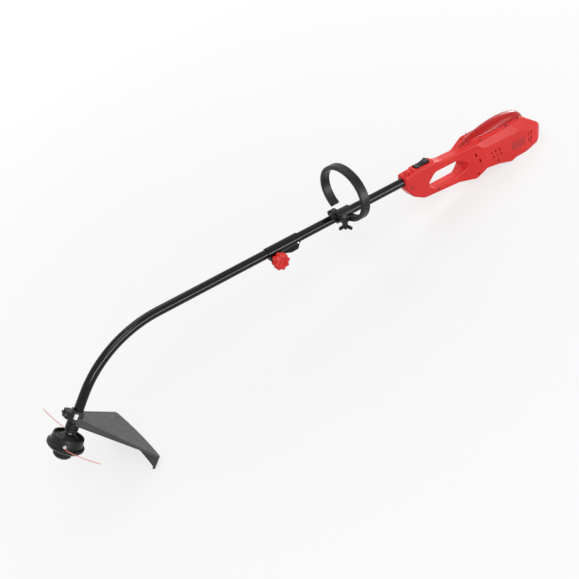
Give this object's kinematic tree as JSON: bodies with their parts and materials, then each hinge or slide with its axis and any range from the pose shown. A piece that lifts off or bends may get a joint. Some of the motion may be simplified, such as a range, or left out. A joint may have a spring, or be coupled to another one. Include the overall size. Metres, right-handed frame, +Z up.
{
  "type": "string trimmer",
  "caption": "Corded string trimmer with a curved two-piece shaft, loop handle, fan-shaped guard, bump-feed head and a rear motor housing with a hand opening.",
  "frame": {"origin": "centre of the flat pad under the motor housing, on the floor", "axes": "+X along the floor from the cutting head to the motor, +Y to the operator's right, +Z up"},
  "size_m": [1.6996, 0.2856, 0.349],
  "materials": {
    "tube_black": "gloss black paint",
    "housing_red": "smooth moulded plastic, semi gloss",
    "hood_red": "gloss moulded plastic",
    "black_plastic": "fine matte",
    "gloss_black": "gloss",
    "guard_grey": "matte",
    "knob_red": "semi gloss",
    "steel": "zinc plated",
    "line": "smooth nylon",
    "liner": "natural nylon",
    "copper": "bare copper",
    "carbon": "carbon",
    "label": "bare matte panel",
    "iron": "laminated iron"
  },
  "bodies": {
    "motor_unit": {"upper_tube": "tube_black", "coupler_body": "black_plastic", "coupler_bolt": "steel", "coupler_screw": "steel", "shaft_bushes": "black_plastic", "housing_left": "housing_red", "housing_right": "housing_red", "housing_screws": "steel", "motor_hood": "hood_red", "hood_screws": "steel", "label_panel": "label", "switch_body": "black_plastic", "mains_inlet": "gloss_black", "stator": "iron", "field_coils": "copper", "motor_bearings": "steel", "brush_holders": "copper", "carbon_brushes": "carbon", "suppressor": "black_plastic"},
    "lower_shaft": {"lower_tube": "tube_black", "drive_cable": "steel", "cable_liner": "liner", "liner_bushes": "black_plastic", "bearing_holder": "black_plastic", "head_bearings": "steel", "bearing_spacer": "steel", "guard": "guard_grey", "guard_strap": "steel", "guard_clamp_block": "black_plastic", "guard_screws": "steel", "cutter_blade": "steel", "blade_screws": "steel"},
    "cutting_head": {"head_spindle": "steel", "head_body": "black_plastic", "head_cover": "black_plastic", "line_eyelets": "steel", "line_near": "line", "line_far": "line", "return_spring": "steel"},
    "bump_spool": {"spool": "black_plastic", "line_winding": "line", "bump_knob": "black_plastic"},
    "rotor": {"drive_shaft": "steel", "motor_coupling": "black_plastic", "armature": "iron", "commutator": "copper", "cooling_fan": "black_plastic"},
    "rocker": {"rocker_switch": "gloss_black"},
    "clamp_knob": {"coupler_knob": "knob_red"},
    "front_handle": {"loop_handle": "black_plastic", "handle_cap": "black_plastic", "handle_bolt": "steel", "handle_screw": "steel"},
    "handle_nut": {"wing_nut": "gloss_black"}
  },
  "joints": [
    {"name": "motor_spin", "type": "hinge", "parent": "motor_unit", "child": "rotor", "pos_m": [-0.10827, 0, 0.09869], "axis": [0.9819, 0, -0.1894], "continuous": true},
    {"name": "head_spin", "type": "hinge", "parent": "lower_shaft", "child": "cutting_head", "pos_m": [-1.58526, 0, 0.16824], "axis": [0.7537, 0, 0.6572], "continuous": true},
    {"name": "bump_feed", "type": "slide", "parent": "cutting_head", "child": "bump_spool", "axis": [0.7537, 0, 0.6572], "range_m": [0, 0.006], "stiffness_N_per_m": 1500, "springref_m": -0.004, "deforming": ["return_spring"]},
    {"name": "shaft_pull", "type": "slide", "parent": "motor_unit", "child": "lower_shaft", "axis": [-0.9819, 0, 0.1894], "range_m": [0, 0.06]},
    {"name": "rocker_press", "type": "hinge", "parent": "motor_unit", "child": "rocker", "pos_m": [-0.37207, 0, 0.17248], "axis": [0, 1, 0], "range_deg": [0, 16]},
    {"name": "clamp_turn", "type": "hinge", "parent": "motor_unit", "child": "clamp_knob", "pos_m": [-0.89001, -0.02, 0.22756], "axis": [0, 1, 0], "range_deg": [0, 720]},
    {"name": "handle_slide", "type": "slide", "parent": "motor_unit", "child": "front_handle", "axis": [0.9819, 0, -0.1894], "range_m": [-0.05, 0.1]},
    {"name": "wing_turn", "type": "hinge", "parent": "front_handle", "child": "handle_nut", "pos_m": [-0.67531, -0.02538, 0.18432], "axis": [0.1894, 0, 0.9819], "range_deg": [0, 720]}
  ],
  "couplings": [
    {"joint": "head_spin", "follows": "motor_spin", "ratio": 1}
  ]
}
